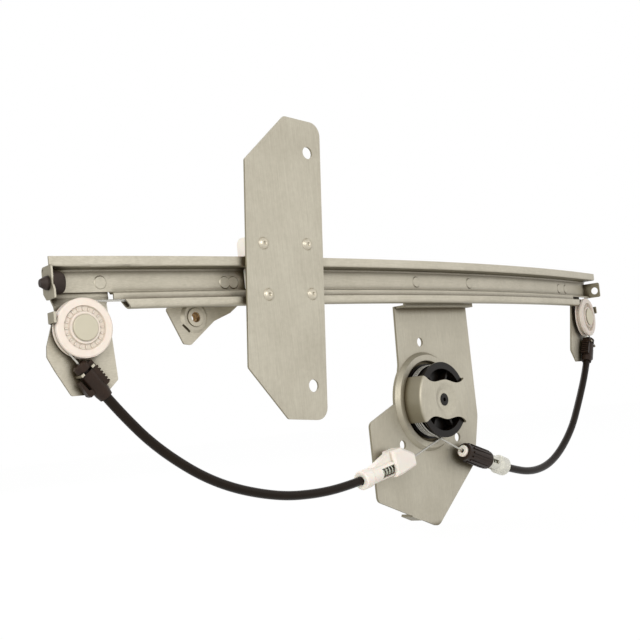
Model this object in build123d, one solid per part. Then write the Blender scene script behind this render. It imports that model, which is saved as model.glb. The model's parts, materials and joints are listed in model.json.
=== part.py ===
from build123d import *
from build123d.topology import SkipClean
from math import acos, atan2, cos, degrees, hypot, pi, radians, sin
import os

os.makedirs("parts", exist_ok=True)

# Window regulator of a car door: one curved rail, a glass carrier pulled along it by a steel cable, and a
# drum that winds the cable. The motor that turns the drum isn't part of it.
#
# Frame, in millimetres: the origin is the drum's axis at the front face of the drum plate. X runs along the
# rail, Z is up and the front is -Y. In the car the +X end of the rail points up.
#
# Along the rail a place is given by three numbers: the distance s along its front face from the middle, the
# depth behind that face, and the height above the rail's middle line.

# Clearances
running_gap = 0.4
pivot_gap = 0.05
press_gap = 0.03
faying_gap = 0.05

# Guide rail: roll-formed sheet, curved away from the viewer
rail_length = 632
rail_radius = 1617
rail_middle_x = -15.7
rail_front_y = -22
rail_middle_z = 90.9
rail_sheet = 1.2
rail_bend = 1.5
flange_top = 16.2
channel_top = 9.8
channel_bottom = -5
channel_depth = 11
slot_depth = 6.2
slot_bottom = -14.8
lip_top = -10.4
left_slot_inset = 43
right_lip_inset = 49
right_slot_inset = 48
rail_spans = 8

# End tabs of the rail, and the bump stop in the left one
left_tab_top = 10.7
left_tab_bottom = -9
left_tab_reach = -2
left_tab_foot_reach = -4
right_tab_top = 7.2
right_tab_bottom = -6.8
right_tab_reach = -4.3
end_hole_radius = 3.4
end_hole_depth = 0.8
end_hole_height = -0.4
stop_depth = 4
stop_height = 0.8
stop_radius = 6.9
stop_neck_radius = 3
stop_length = 8
stop_tail_radius = 4.2
stop_tail_length = 5

# Cable, and its line in the rail's slot
cable_radius = 0.75
cable_depth = 3.7
cable_height = -10.6

# Cable pulleys
pulley_radius = 18
pulley_groove_radius = 16.25
pulley_front = -0.9
pulley_thickness = 6.8
pulley_recess = 1.5
pulley_pin_radius = 4
pulley_pin_head_radius = 8
pulley_pin_head = 1
pulley_pin_neck_radius = 3
left_pulley_inset = 19
right_pulley_inset = 31.5
left_leave_angle = 52.3
right_leave_angle = 124

# Pulley brackets
bracket_sheet = 1.5
bracket_bend = 2
bracket_depth = 9
joggle_top = -7
joggle_bottom = -12.5
keeper_height = -20
keeper_width = 6.5
keeper_reach = -2.4
keeper_gap = 0.4

# Conduits and their sockets, measured along the cable from where it leaves the pulley
sheath_radius = 3.15
socket_start = 14
socket_end = 40
socket_radius = 5
socket_neck_radius = 3.2
socket_seat = 6
cable_bore_radius = 1.2
lug_place = 19
lug_width = 11
grip_start = 16.5
grip_end = 34
grip_top = 6.6
grip_half_width = 3.5
grip_rib = 1.1
grip_rib_height = 0.9
sheath_lead = 18

# Rivets that join the brackets to the rail
rivet_radius = 2.5
rivet_head_radius = 4.2
rivet_head = 0.4

# Drum plate
plate_sheet = 1.8
shelf_top = 74.9
strip_top = 8
ring_width = 7.4
ring_slope = 2.4
ring_height = 3.5
cup_floor_front = 0.3
cup_bore_radius = 22
motor_hole_land = 8
motor_hole_radius = 3.6
motor_hole_angles = (90, 221.7, 318.3)
foot_tab_place = (-27, -86.9)
foot_tab_lean = 22
foot_tab_width = 12
foot_tab_length = 11

# Strap over the drum
strap_sheet = 1.4
strap_front = -19.4
strap_half_width = 17.6
strap_turn = 4.5
strap_hole_radius = 4.8
strap_dish_radius = 12.9
strap_dish_floor = 8
strap_dish_depth = 2.1
strap_room = 2.1

# Cable drum
drum_lip = 1.9
drum_front = -16.9
drum_flange = 1.6
drum_back = -1.2
winding_radius = 27.2
left_lane = -11.9
right_lane = -10.1
winding_lanes = (-14.2, -7.9, -6.1, -4.3)
drum_hub_radius = 9
drum_rim_wall = 3.2
drum_web_front = -8
drive_hub_radius = 14
drive_hub_back = 1
drive_socket_radius = 8
drive_socket_depth = 7
lane_wrap = 100

# Spring tensioner of the left conduit and ratchet adjuster of the right one, drawn from where the conduit
# goes in towards the drum
left_tensioner_entry = (-100.3, -51.1)
left_tensioner_tip = (-42.3, -41.6)
right_adjuster_entry = (79, -59.6)
right_adjuster_tip = (25, -41.5)
tensioner_chamber_radius = 4.6
tensioner_wall = 1.3
tensioner_collar_radius = 6.9
tensioner_collar_length = 8
tensioner_conduit_depth = 18
tensioner_spring_end = 40
adjuster_conduit_depth = 12
adjuster_barrel_start = 23
adjuster_barrel_radius = 7.4
adjuster_nose_radius = 4.6
spring_wire_radius = 0.45
spring_wire_sides = 12
spring_radius = 3.6
spring_turns = 6
ferrule_length = 4

# Glass carrier and slider
carrier_s = -144.2
plate_gap = 3.2
carrier_sheet = 1.5
carrier_lean = 5.75
carrier_right = 31.8
carrier_left = -35.4
carrier_top = 114.4
carrier_bottom = -94
carrier_corner = 9
glass_hole_offset = 20
glass_hole_heights = (91.7, -70.9)
glass_hole_radius = 4.3
carrier_rivet_spacing = 38.6
carrier_rivet_heights = (24.5, -10)
carrier_rivet_radius = 2.4
carrier_rivet_head_radius = 4.2
carrier_rivet_head = 1.7
slider_half_length = 27
shoe_half_length = 32
slider_top = 29
slider_bottom = -14
slider_back = 9.9
anchor_half_length = 12
anchor_bottom = -13.4
nipple_length = 7
nipple_radius = 1.6

# Tab that fastens the rail to the door
door_tab_s = -205
door_tab_depth = 20
door_boss_place = (-2.8, -21)
door_boss_radius = 10.5
door_boss_height = 1.5
door_bush_radius = 6
door_thread_radius = 3.4
door_bush_length = 9

# Worked out from the sizes above
rail_centre_y = rail_front_y + rail_radius
rail_half = rail_length / 2
left_slot_end = left_slot_inset - rail_half
right_lip_end = rail_half - right_lip_inset
right_slot_end = rail_half - right_slot_inset
left_pulley_s = left_pulley_inset - rail_half
right_pulley_s = rail_half - right_pulley_inset
floor_back = channel_depth + rail_sheet
pulley_height = cable_height - pulley_groove_radius
cable_clear = cable_radius + running_gap
bracket_back = bracket_depth + bracket_sheet
tab_depth = floor_back + faying_gap
shelf_bottom = shelf_top - plate_sheet
carrier_back = -plate_gap
drum_radius = winding_radius + drum_lip
drum_rim_inner = winding_radius - drum_rim_wall
ring_bore_radius = drum_radius + strap_room
ring_base_radius = ring_bore_radius + ring_width
ring_top_radius = ring_base_radius - ring_slope
motor_hole_reach = ring_base_radius + motor_hole_land


def on_rail(s, depth=0.0, height=0.0):
    """The place at s along the rail, turned with it: local X along the rail, local Y to the back."""
    turn = s / rail_radius
    reach = rail_radius - depth
    x = rail_middle_x + reach * sin(turn)
    y = rail_centre_y - reach * cos(turn)
    return Location((x, y, rail_middle_z + height), (0, 0, degrees(turn)))


def along_rail(section, s_from, s_to):
    """A section drawn as (depth, height) and swept along the rail's curve."""
    turn = s_from / rail_radius
    plane = Plane(
        origin=(rail_middle_x, rail_centre_y, rail_middle_z),
        x_dir=(sin(turn), -cos(turn), 0),
        z_dir=(-cos(turn), -sin(turn), 0),
    )
    sweep_angle = degrees((s_to - s_from) / rail_radius)
    return revolve(plane * section, Axis((rail_middle_x, rail_centre_y, 0), (0, 0, 1)), sweep_angle)


def section(points):
    """The face inside (depth, height) points, in the radial frame that along_rail turns."""
    return make_face(Polyline(*[(rail_radius - d, h) for d, h in points], close=True))


def bent_section(points, bend, thickness, side=Side.LEFT):
    """The section of a bent sheet: the line of its front face, thickened to the back."""
    line = FilletPolyline(*[(rail_radius - d, h) for d, h in points], radius=bend)
    return make_face(offset(line, thickness, side=side))


def spaced(first, last, pitch):
    """Evenly spaced places from the first, none beyond the last."""
    return [first + n * pitch for n in range(int((last - first) / pitch) + 1)]


def outline(points, corner):
    """A flat outline with rounded corners."""
    return make_face(FilletPolyline(*points, radius=corner, close=True))


def plate(face, front, thickness):
    """A flat piece drawn as seen from the front, from its front depth to the back."""
    return Pos(0, front, 0) * extrude(Plane.XZ * face, -thickness)


def turned(points):
    """A turned piece about the depth axis, from its half section of (radius, depth) points."""
    return revolve(make_face(Polyline(*points, close=True)), Axis.Y)


def turned_along(points):
    """A turned piece about X, from its half section of (distance, radius) points."""
    return revolve(make_face(Polyline(*points, close=True)), Axis.X)


def pin(radius, start, end):
    """A plain cylinder about the depth axis, from one depth to another."""
    return Pos(0, (start + end) / 2, 0) * Rot(90, 0, 0) * Cylinder(radius, end - start)


def rod(radius, start, end):
    """A plain cylinder about X, from one distance to another."""
    return Pos((start + end) / 2, 0, 0) * Rot(0, 90, 0) * Cylinder(radius, end - start)


def block(x_from, x_to, y_from, y_to, z_from, z_to):
    """A box between its corner places."""
    centre = Pos((x_from + x_to) / 2, (y_from + y_to) / 2, (z_from + z_to) / 2)
    return centre * Box(x_to - x_from, y_to - y_from, z_to - z_from)


def rolled_rail():
    """The roll-formed section along the whole rail, in short spans so that its long faces stay true."""
    front_line = [
        (0, flange_top),
        (0, channel_top),
        (channel_depth, channel_top),
        (channel_depth, channel_bottom),
        (slot_depth, channel_bottom),
        (slot_depth, slot_bottom),
        (rail_sheet, slot_bottom),
        (rail_sheet, lip_top),
    ]
    sheet = bent_section(front_line, rail_bend, rail_sheet)
    span = rail_length / rail_spans
    starts = [n * span - rail_half for n in range(rail_spans)]
    spans = [along_rail(sheet, start, start + span) for start in starts]
    return spans[0] + spans[1:]


def guide_rail():
    """The rail: top flange, channel for the slider and J slot for the cable, with both ends bent up."""
    rail = rolled_rail()
    low = slot_bottom - 4 * rail_sheet
    left_opening = section([(-5, channel_bottom + 0.6), (30, channel_bottom + 0.6), (30, low), (-5, low)])
    rail -= along_rail(left_opening, -rail_half - 2, left_slot_end)
    slope = make_face(Polyline((-6, 8), (4, 8), (11, low + 18), (-6, low + 18), close=True))
    rail -= on_rail(left_slot_end, 0, low + 2) * plate(slope, -5, slot_depth + 8)
    lip_opening = section([(-5, lip_top + 1), (slot_depth - 0.4, lip_top + 1), (slot_depth - 0.4, low), (-5, low)])
    rail -= along_rail(lip_opening, right_lip_end, rail_half + 2)
    wall_top = channel_bottom - rail_sheet - 0.3
    wall_opening = section([(-5, wall_top), (30, wall_top), (30, low), (-5, low)])
    rail -= along_rail(wall_opening, right_slot_end, rail_half + 2)
    left_tab = outline(
        [
            (floor_back, left_tab_bottom + 4),
            (floor_back - 4, left_tab_bottom),
            (left_tab_foot_reach, left_tab_bottom),
            (left_tab_foot_reach, left_tab_bottom + 5),
            (left_tab_reach, left_tab_bottom + 9),
            (left_tab_reach, left_tab_top),
            (floor_back - 4, left_tab_top),
            (floor_back, left_tab_top - 4),
        ],
        1,
    )
    right_tab = outline(
        [
            (floor_back, right_tab_bottom),
            (right_tab_reach, right_tab_bottom),
            (right_tab_reach, right_tab_top),
            (floor_back, right_tab_top),
        ],
        1.5,
    )
    rail += on_rail(-rail_half) * extrude(Plane.YZ * left_tab, rail_sheet)
    rail += on_rail(rail_half) * extrude(Plane.YZ * right_tab, -rail_sheet)
    rail -= on_rail(-rail_half, stop_depth, stop_height) * rod(stop_neck_radius, -5, 5)
    rail -= on_rail(rail_half, end_hole_depth, end_hole_height) * rod(end_hole_radius, -5, 5)
    for s, height in rivet_places():
        rail -= on_rail(s, 0, height) * pin(rivet_radius, channel_depth - 2, floor_back + 2)
    return rail


def bump_stop():
    """The rubber stop: a domed head inside the left tab, a neck through it and an arrow tail outside."""
    neck = stop_neck_radius - press_gap
    head_back = rail_sheet + press_gap
    half = [
        (-stop_tail_length, 0),
        (-stop_tail_length, 0.55 * stop_tail_radius),
        (-press_gap - 1.5, stop_tail_radius),
        (-press_gap, stop_tail_radius),
        (-press_gap, neck),
        (head_back, neck),
        (head_back, stop_radius),
        (head_back + 0.75 * stop_length, stop_radius),
        (head_back + 0.95 * stop_length, 0.85 * stop_radius),
        (head_back + stop_length, 0.6 * stop_radius),
        (head_back + stop_length, 0),
    ]
    return on_rail(-rail_half, stop_depth, stop_height) * turned_along(half)


def leave_frame(s, angle, side):
    """Where the cable leaves a pulley: local X runs down the cable, local Z lies across it."""
    across = side * pulley_groove_radius
    leave = Pos(across * sin(radians(angle)), 0, across * cos(radians(angle)))
    return on_rail(s, cable_depth, pulley_height) * leave * Rot(0, angle, 0)


def left_leave():
    return leave_frame(left_pulley_s, left_leave_angle, -1)


def right_leave():
    return leave_frame(right_pulley_s, right_leave_angle, 1)


def cable_pulley(s):
    """A moulded pulley: deep cable groove, raised outer ring, hub that carries it on the pin."""
    back = pulley_front + pulley_thickness
    floor = pulley_groove_radius - cable_clear + 0.1
    bore = pulley_pin_radius + pivot_gap
    hub = pulley_pin_head_radius + 1.5
    rim = 0.75 * pulley_radius
    recess_floor = pulley_front + pulley_recess
    half = [
        (bore, pulley_front),
        (hub, pulley_front),
        (hub + 0.5, recess_floor),
        (rim - 0.5, recess_floor),
        (rim, pulley_front),
        (pulley_radius - 0.8, pulley_front),
        (pulley_radius, pulley_front + 0.6),
        (pulley_radius, cable_depth - 1.9),
        (floor, cable_depth - cable_clear),
        (floor, cable_depth + cable_clear),
        (pulley_radius, cable_depth + 1.6),
        (pulley_radius, back),
        (rim + 0.5, back),
        (rim, back - pulley_recess),
        (hub, back - pulley_recess),
        (hub - 1, back),
        (hub - 2.5, bracket_depth - 0.3),
        (bore, bracket_depth - 0.3),
    ]
    return on_rail(s, 0, pulley_height) * turned(half)


def pulley_pin(s):
    """The shouldered rivet that a pulley turns on, with a broad flat head."""
    head_back = pulley_front - 0.3
    head_front = head_back - pulley_pin_head
    half = [
        (0, head_front),
        (pulley_pin_head_radius - 0.4, head_front),
        (pulley_pin_head_radius, head_front + 0.4),
        (pulley_pin_head_radius, head_back),
        (pulley_pin_radius, head_back),
        (pulley_pin_radius, bracket_depth - press_gap),
        (pulley_pin_neck_radius - press_gap, bracket_depth - press_gap),
        (pulley_pin_neck_radius - press_gap, bracket_back + press_gap),
        (5, bracket_back + press_gap),
        (4.4, bracket_back + 1.2),
        (0, bracket_back + 1.2),
    ]
    return on_rail(s, 0, pulley_height) * turned(half)


def joggled_sheet(lower_depth, lowest, s_from, s_to):
    """Sheet that lies against the back of the rail's floor and steps to another depth below it."""
    line = [
        (tab_depth, strip_top + 1),
        (tab_depth, joggle_top),
        (lower_depth, joggle_bottom),
        (lower_depth, lowest - 1),
    ]
    return along_rail(bent_section(line, bracket_bend, bracket_sheet, Side.RIGHT), s_from, s_to)


def cable_keeper(side):
    """The bent arm that comes forward beside the pulley and keeps the cable in its groove."""
    inner = pulley_radius + keeper_gap
    outer = inner + bracket_sheet
    root = 0.65 * inner
    points = [
        (root, bracket_depth),
        (inner - 2.2, bracket_depth),
        (inner, bracket_depth - 3.1),
        (inner, keeper_reach),
        (outer, keeper_reach),
        (outer, bracket_depth - 2.7),
        (inner - 1.6, bracket_back),
        (root, bracket_back),
    ]
    arm = make_face(Polyline(*[(side * along, depth) for along, depth in points], close=True))
    return Pos(0, 0, -keeper_width / 2) * extrude(arm, keeper_width, dir=(0, 0, 1))


def pulley_bracket(s, points, leave, side):
    """A pulley bracket: joggled sheet, cable keeper beside the pulley and slotted lug for the socket."""
    lowest = min(h for a, h in points)
    sheet = joggled_sheet(bracket_depth, lowest, s - 60, s + 60)
    bracket = sheet & (on_rail(s) * plate(outline(points, 2), -10, 60))
    bracket += on_rail(s, 0, keeper_height) * cable_keeper(side)
    lug_back = bracket_depth - cable_depth + 0.8
    lug = block(lug_place, lug_place + bracket_sheet, -socket_radius, lug_back, -lug_width / 2, lug_width / 2)
    neck = socket_neck_radius + press_gap
    lug -= rod(neck, lug_place - 2, lug_place + 4)
    lug -= block(lug_place - 2, lug_place + 4, -20, 0, -neck, neck)
    bracket += leave * lug
    bracket -= on_rail(s, 0, pulley_height) * pin(pulley_pin_neck_radius, 0, 20)
    for rivet_s, height in rivet_places():
        bracket -= on_rail(rivet_s, 0, height) * pin(rivet_radius, channel_depth, floor_back + 8)
    return bracket


def left_pulley_bracket():
    points = [
        (-11, strip_top),
        (23, strip_top),
        (23, -8),
        (20, -12),
        (21.7, -33.5),
        (23.3, -58.4),
        (14.6, -66.3),
        (-7.7, -66.3),
        (-16.9, -50.7),
        (-21.1, -42.4),
        (-20.6, -36),
        (-13.9, -15.1),
        (-14.7, -8.2),
    ]
    return pulley_bracket(left_pulley_s, points, left_leave(), -1)


def right_pulley_bracket():
    points = [
        (-44, strip_top),
        (16, strip_top),
        (16, -12),
        (17.5, -24),
        (20, -37),
        (15, -52),
        (6, -68.3),
        (-19.9, -68.3),
        (-29.5, -57.3),
        (-16.1, -14.4),
        (-19, -6.5),
        (-44, -6),
    ]
    return pulley_bracket(right_pulley_s, points, right_leave(), 1)


def sheath_socket(leave, side):
    """The plastic end of a conduit: neck for the lug, barrel for the conduit, snap finger and grip fins."""
    neck = socket_neck_radius
    lug_back = lug_place + bracket_sheet
    mouth = sheath_radius + press_gap
    half = [
        (socket_start, cable_bore_radius),
        (socket_start, socket_radius - 1.4),
        (socket_start + 1.4, socket_radius),
        (lug_place - press_gap, socket_radius),
        (lug_place - press_gap, neck),
        (lug_back + press_gap, neck),
        (lug_back + press_gap, socket_radius),
        (socket_end - 4, socket_radius),
        (socket_end, socket_radius - 0.7),
        (socket_end, mouth),
        (socket_end - socket_seat - pivot_gap, mouth),
        (socket_end - socket_seat - pivot_gap, cable_bore_radius),
    ]
    socket = turned_along(half)
    finger = make_face(
        Polyline((33.5, -3.5), (33.5, -8), (32, -9), (22, -8), (22, -6.8), (29.5, -6.4), (30.5, -3.5), close=True)
    )
    extras = plate(finger, -2.2, 4.4)
    wide = grip_half_width
    extras += block(grip_start, grip_end, -wide, wide, 2, grip_top)
    for start in spaced(lug_back + 1, grip_end - grip_rib, 2 * grip_rib):
        extras += block(start, start + grip_rib, -wide, wide, grip_top - 0.1, grip_top + grip_rib_height)
    lug_room = lug_width / 2 + press_gap
    extras -= block(lug_place - press_gap, lug_back + press_gap, -20, 20, -lug_room, lug_room)
    extras -= rod(mouth + 0.6, socket_start, socket_end + 1)
    socket += extras
    if side > 0:
        socket = mirror(socket, Plane.XY)
    return leave * socket


def cable_along(points_path, radius):
    """A round cable or conduit swept along its path."""
    start = Plane(origin=points_path @ 0, z_dir=points_path % 0)
    return sweep(start * Circle(radius), path=points_path)


def rail_cable():
    """The cable from one socket round its pulley, along the rail's slot and round the other pulley."""
    run = socket_end - socket_seat - press_gap
    edges = []
    ends = []
    for s, leave, angle, side in (
        (left_pulley_s, left_leave(), left_leave_angle, -1),
        (right_pulley_s, right_leave(), right_leave_angle, 1),
    ):
        middle = on_rail(s, cable_depth, pulley_height)
        away = degrees(atan2(side * cos(radians(angle)), side * sin(radians(angle)))) % 360
        top = 90
        half_way = radians((away + (top if side < 0 else top + 360)) / 2)
        r = pulley_groove_radius
        at_top = (middle * Pos(0, 0, r)).position
        at_half = (middle * Pos(r * cos(half_way), 0, r * sin(half_way))).position
        at_leave = leave.position
        at_end = (leave * Pos(run, 0, 0)).position
        edges.append([Line(at_end, at_leave), ThreePointArc(at_leave, at_half, at_top)])
        ends.append(at_top)
    middle_s = (left_pulley_s + right_pulley_s) / 2
    along = ThreePointArc(ends[0], on_rail(middle_s, cable_depth, cable_height).position, ends[1])
    wire = Wire([*[e.edge() for e in edges[0]], along.edge(), *[e.edge() for e in edges[1]]])
    print("rail cable length", round(wire.length, 1))
    return cable_along(wire, cable_radius)


def conduit(name, points):
    """A conduit along hand-chosen points, with arcs as large as its straight runs allow."""
    places = [Vector(*p) for p in points]
    radii = []
    for before, corner, after in zip(places, places[1:], places[2:]):
        turn = radians((corner - before).get_angle(after - corner))
        shorter = min((corner - before).length, (after - corner).length)
        radii.append(0.45 * shorter / (sin(turn / 2) / cos(turn / 2)))
    path = FilletPolyline(*places, radius=radii)
    tube = cable_along(path, sheath_radius)
    print(name, "length", round(path.length, 1), "radii", [round(r) for r in radii])
    print(name, "volume ratio", round(tube.volume / (pi * sheath_radius**2 * path.length), 4))
    return tube


def sheath_start(leave):
    """The conduit's end in its socket and the end of its first straight run."""
    seat = socket_end - socket_seat
    return [(leave * Pos(x, 0, 0)).position for x in (seat, seat + sheath_lead)]


def left_sheath():
    return conduit(
        "left sheath",
        [
            *sheath_start(left_leave()),
            (-266.0, 2.6, -13.0),
            (-226.9, -1.8, -38.3),
            (-180.0, -5.8, -52.2),
            (-142.0, -9.4, -55.0),
            (-108.19, -11.9, -52.4),
            (-82.54, -11.9, -48.18),
        ],
    )


def right_sheath():
    return conduit(
        "right sheath",
        [
            *sheath_start(right_leave()),
            (229.2, 1.2, -14.0),
            (203.2, -2.2, -40.6),
            (163.0, -6.2, -63.2),
            (124.0, -9.2, -69.2),
            (86.59, -10.1, -62.14),
            (67.62, -10.1, -55.78),
        ],
    )


def tensioner_frame(entry, tip, lane):
    """Where a conduit enters its fitting: local X runs towards the drum."""
    angle = degrees(atan2(-(tip[1] - entry[1]), tip[0] - entry[0]))
    return Pos(entry[0], lane, entry[1]) * Rot(0, angle, 0)


def left_frame():
    return tensioner_frame(left_tensioner_entry, left_tensioner_tip, left_lane)


def right_frame():
    return tensioner_frame(right_adjuster_entry, right_adjuster_tip, right_lane)


def fitting_length(entry, tip):
    return hypot(tip[0] - entry[0], tip[1] - entry[1])


def left_tensioner_sleeve():
    """The spring tensioner: collar on the conduit, windowed chamber, and a faceted nose with a wedge."""
    tip = fitting_length(left_tensioner_entry, left_tensioner_tip)
    shell = tensioner_chamber_radius + tensioner_wall
    nose = make_face(Polyline((34, 12.4), (45, 12.4), (tip, 4.6), (tip, -4.6), (41, -6.8), (34, -6.8), close=True))
    body = plate(nose, -6.2, 12.4)
    body = chamfer(body.edges().filter_by(GeomType.LINE).filter_by(Axis.Y, reverse=True), 1.8)
    body += plate(make_face(Polyline((12, 3), (12, 6), (34.5, 12.2), (34.5, 3), close=True)), -2.6, 5.2)
    body += rod(shell, 0, 36)
    body += turned_along(
        [
            (0, 0),
            (0, tensioner_collar_radius - 0.8),
            (0.8, tensioner_collar_radius),
            (tensioner_collar_length, tensioner_collar_radius),
            (tensioner_collar_length + 2, shell),
            (tensioner_collar_length + 2, 0),
        ]
    )
    body -= rod(tensioner_chamber_radius, tensioner_conduit_depth - 6, tensioner_spring_end)
    body -= rod(sheath_radius + press_gap, -1, tensioner_conduit_depth)
    body -= rod(cable_bore_radius, 0, tip + 1)
    body -= block(19, 34, -20, 0, -4, 3)
    return left_frame() * body


def coil_spring(start, end):
    """A compression spring about X, its wire drawn with many flats."""
    height = end - start - 2 * spring_wire_radius
    helix = Helix(pitch=height / spring_turns, height=height, radius=spring_radius)
    wire_end = RegularPolygon(spring_wire_radius, spring_wire_sides)
    wire = sweep(Plane(origin=helix @ 0, z_dir=helix % 0) * wire_end, path=helix, is_frenet=True)
    return Pos(start + spring_wire_radius, 0, 0) * Rot(0, 90, 0) * wire


def left_tensioner_spring():
    start = tensioner_conduit_depth + 1 + press_gap
    return left_frame() * coil_spring(start, tensioner_spring_end - press_gap)


def ferrule(frame, conduit_depth, outer):
    """The metal cap on a conduit's end, which the spring bears on."""
    inner = sheath_radius + press_gap
    half = [
        (conduit_depth - ferrule_length, inner),
        (conduit_depth - ferrule_length, outer),
        (conduit_depth + 1, outer),
        (conduit_depth + 1, cable_bore_radius),
        (conduit_depth + press_gap, cable_bore_radius),
        (conduit_depth + press_gap, inner),
    ]
    return frame * turned_along(half)


def left_sheath_ferrule():
    return ferrule(left_frame(), tensioner_conduit_depth, tensioner_chamber_radius - 0.1)


def right_sheath_ferrule():
    return ferrule(right_frame(), adjuster_conduit_depth, tensioner_chamber_radius - 0.1)


def right_adjuster_sleeve():
    """The clear sleeve: collar on the conduit and a slotted shank that runs into the barrel."""
    shank = tensioner_chamber_radius + tensioner_wall
    end = adjuster_barrel_start + 12
    body = rod(shank, 0, end) + turned_along(
        [
            (0, 0),
            (0, 7),
            (0.8, 7.7),
            (9, 7.7),
            (12, shank),
            (12, 0),
        ]
    )
    body -= rod(tensioner_chamber_radius, adjuster_conduit_depth - ferrule_length - 1, end + 1)
    body -= rod(sheath_radius + press_gap, -1, adjuster_conduit_depth)
    for turn in (0, 90, 180, 270):
        body -= Rot(turn, 0, 0) * block(adjuster_conduit_depth + 2, adjuster_barrel_start - 1, -1.5, 1.5, 0, 20)
    return right_frame() * body


def right_adjuster_spring():
    start = adjuster_conduit_depth + 1 + press_gap
    return right_frame() * coil_spring(start, adjuster_barrel_start + 11)


def right_adjuster_barrel():
    """The ratchet barrel: ribbed outside, bored for the sleeve and closed by the nose."""
    tip = fitting_length(right_adjuster_entry, right_adjuster_tip) - 2
    shank = tensioner_chamber_radius + tensioner_wall
    half = [
        (adjuster_barrel_start, shank + press_gap),
        (adjuster_barrel_start, adjuster_barrel_radius - 1.2),
        (adjuster_barrel_start + 1.4, adjuster_barrel_radius),
        (tip - 0.8, adjuster_barrel_radius - 0.5),
        (tip, adjuster_barrel_radius - 1.2),
        (tip, adjuster_nose_radius + press_gap),
        (adjuster_barrel_start + 12.5, adjuster_nose_radius + press_gap),
        (adjuster_barrel_start + 12.5, shank + press_gap),
    ]
    barrel = turned_along(half)
    for turn in range(0, 360, 30):
        barrel += Rot(turn, 0, 0) * block(
            adjuster_barrel_start + 4, tip - 5, -0.7, 0.7, adjuster_barrel_radius - 1, adjuster_barrel_radius + 0.4
        )
    return right_frame() * barrel


def right_adjuster_nose():
    tip = fitting_length(right_adjuster_entry, right_adjuster_tip)
    half = [
        (tip - 16, cable_bore_radius),
        (tip - 16, adjuster_nose_radius),
        (tip - 0.6, adjuster_nose_radius),
        (tip, adjuster_nose_radius - 0.8),
        (tip, cable_bore_radius + 0.6),
        (tip - 1.5, cable_bore_radius),
    ]
    return right_frame() * turned_along(half)


def drum_cable(entry, tip, lane, conduit_depth, side):
    """Bare cable from the conduit's end through its fitting, tangent to the drum and round its own lane."""
    frame = tensioner_frame(entry, tip, lane)
    reach = hypot(tip[0], tip[1])
    tip_angle = degrees(atan2(tip[1], tip[0]))
    touch = tip_angle + side * degrees(acos(winding_radius / reach))
    start = (frame * Pos(conduit_depth + 0.1, 0, 0)).position
    kink = (frame * Pos(fitting_length(entry, tip), 0, 0)).position
    touch_point = Vector(winding_radius * cos(radians(touch)), lane, winding_radius * sin(radians(touch)))
    half_angle = radians(touch + side * lane_wrap / 2)
    end_angle = radians(touch + side * lane_wrap)
    half_point = Vector(winding_radius * cos(half_angle), lane, winding_radius * sin(half_angle))
    end_point = Vector(winding_radius * cos(end_angle), lane, winding_radius * sin(end_angle))
    straight = FilletPolyline(start, kink, touch_point, radius=20)
    wrap = ThreePointArc(touch_point, half_point, end_point)
    return cable_along(Wire([*straight.edges(), wrap.edge()]), cable_radius)


def left_drum_cable():
    return drum_cable(left_tensioner_entry, left_tensioner_tip, left_lane, tensioner_conduit_depth, 1)


def right_drum_cable():
    return drum_cable(right_adjuster_entry, right_adjuster_tip, right_lane, adjuster_conduit_depth, -1)


def drum_plate():
    """The plate behind the drum: raised ring, motor holes, and a shelf and strip that reach the rail."""
    points = [
        (-27, shelf_top),
        (-29, 30),
        (-37.5, 1),
        (-70.2, -12),
        (-70.2, -69.5),
        (-2, -97),
        (54.5, -53),
        (65.3, -16),
        (65.5, shelf_top),
    ]
    corners = [0.5, 10, 3, 5, 5, 8, 8, 15, 0.5]
    sheet = plate(outline(points, corners), 0, plate_sheet)
    sheet -= pin(ring_base_radius + 0.2, -5, 5)
    ring = [
        (ring_base_radius + 0.6, 0),
        (ring_base_radius, 0),
        (ring_top_radius, -ring_height),
        (ring_bore_radius + 0.6, -ring_height),
        (ring_bore_radius, -ring_height + 0.6),
        (ring_bore_radius, cup_floor_front),
        (cup_bore_radius, cup_floor_front),
        (cup_bore_radius, plate_sheet),
        (ring_bore_radius + plate_sheet, plate_sheet),
        (ring_bore_radius + plate_sheet, plate_sheet - ring_height),
        (ring_top_radius - 1.1, plate_sheet - ring_height),
        (ring_base_radius - 1.1, plate_sheet),
        (ring_base_radius + 0.6, plate_sheet),
    ]
    sheet += turned(ring)
    strip_section = section(
        [
            (tab_depth, strip_top),
            (tab_depth + plate_sheet, strip_top),
            (tab_depth + plate_sheet, shelf_bottom - rail_middle_z),
            (tab_depth, shelf_bottom - rail_middle_z),
        ]
    )
    strip_from = -26 - rail_middle_x
    strip_to = 65.5 - rail_middle_x
    sheet += along_rail(strip_section, strip_from, strip_to)
    shelf = block(-26, 65.4, -15, plate_sheet, shelf_bottom, shelf_top)
    behind = Pos(rail_middle_x, rail_centre_y, shelf_top) * Cylinder(rail_radius - tab_depth - 0.5, 20)
    sheet += shelf & behind
    for angle in motor_hole_angles:
        x = motor_hole_reach * cos(radians(angle))
        z = motor_hole_reach * sin(radians(angle))
        sheet -= Pos(x, 0, z) * pin(motor_hole_radius, -5, 5)
    foot_x, foot_z = foot_tab_place
    foot = block(-foot_tab_width / 2, foot_tab_width / 2, 0, foot_tab_length, -0.6, plate_sheet - 0.6)
    sheet += Pos(foot_x, 0, foot_z) * Rot(0, foot_tab_lean, 0) * foot
    for s, height in rivet_places():
        sheet -= on_rail(s, 0, height) * pin(rivet_radius, channel_depth, floor_back + 4)
    return sheet


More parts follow.
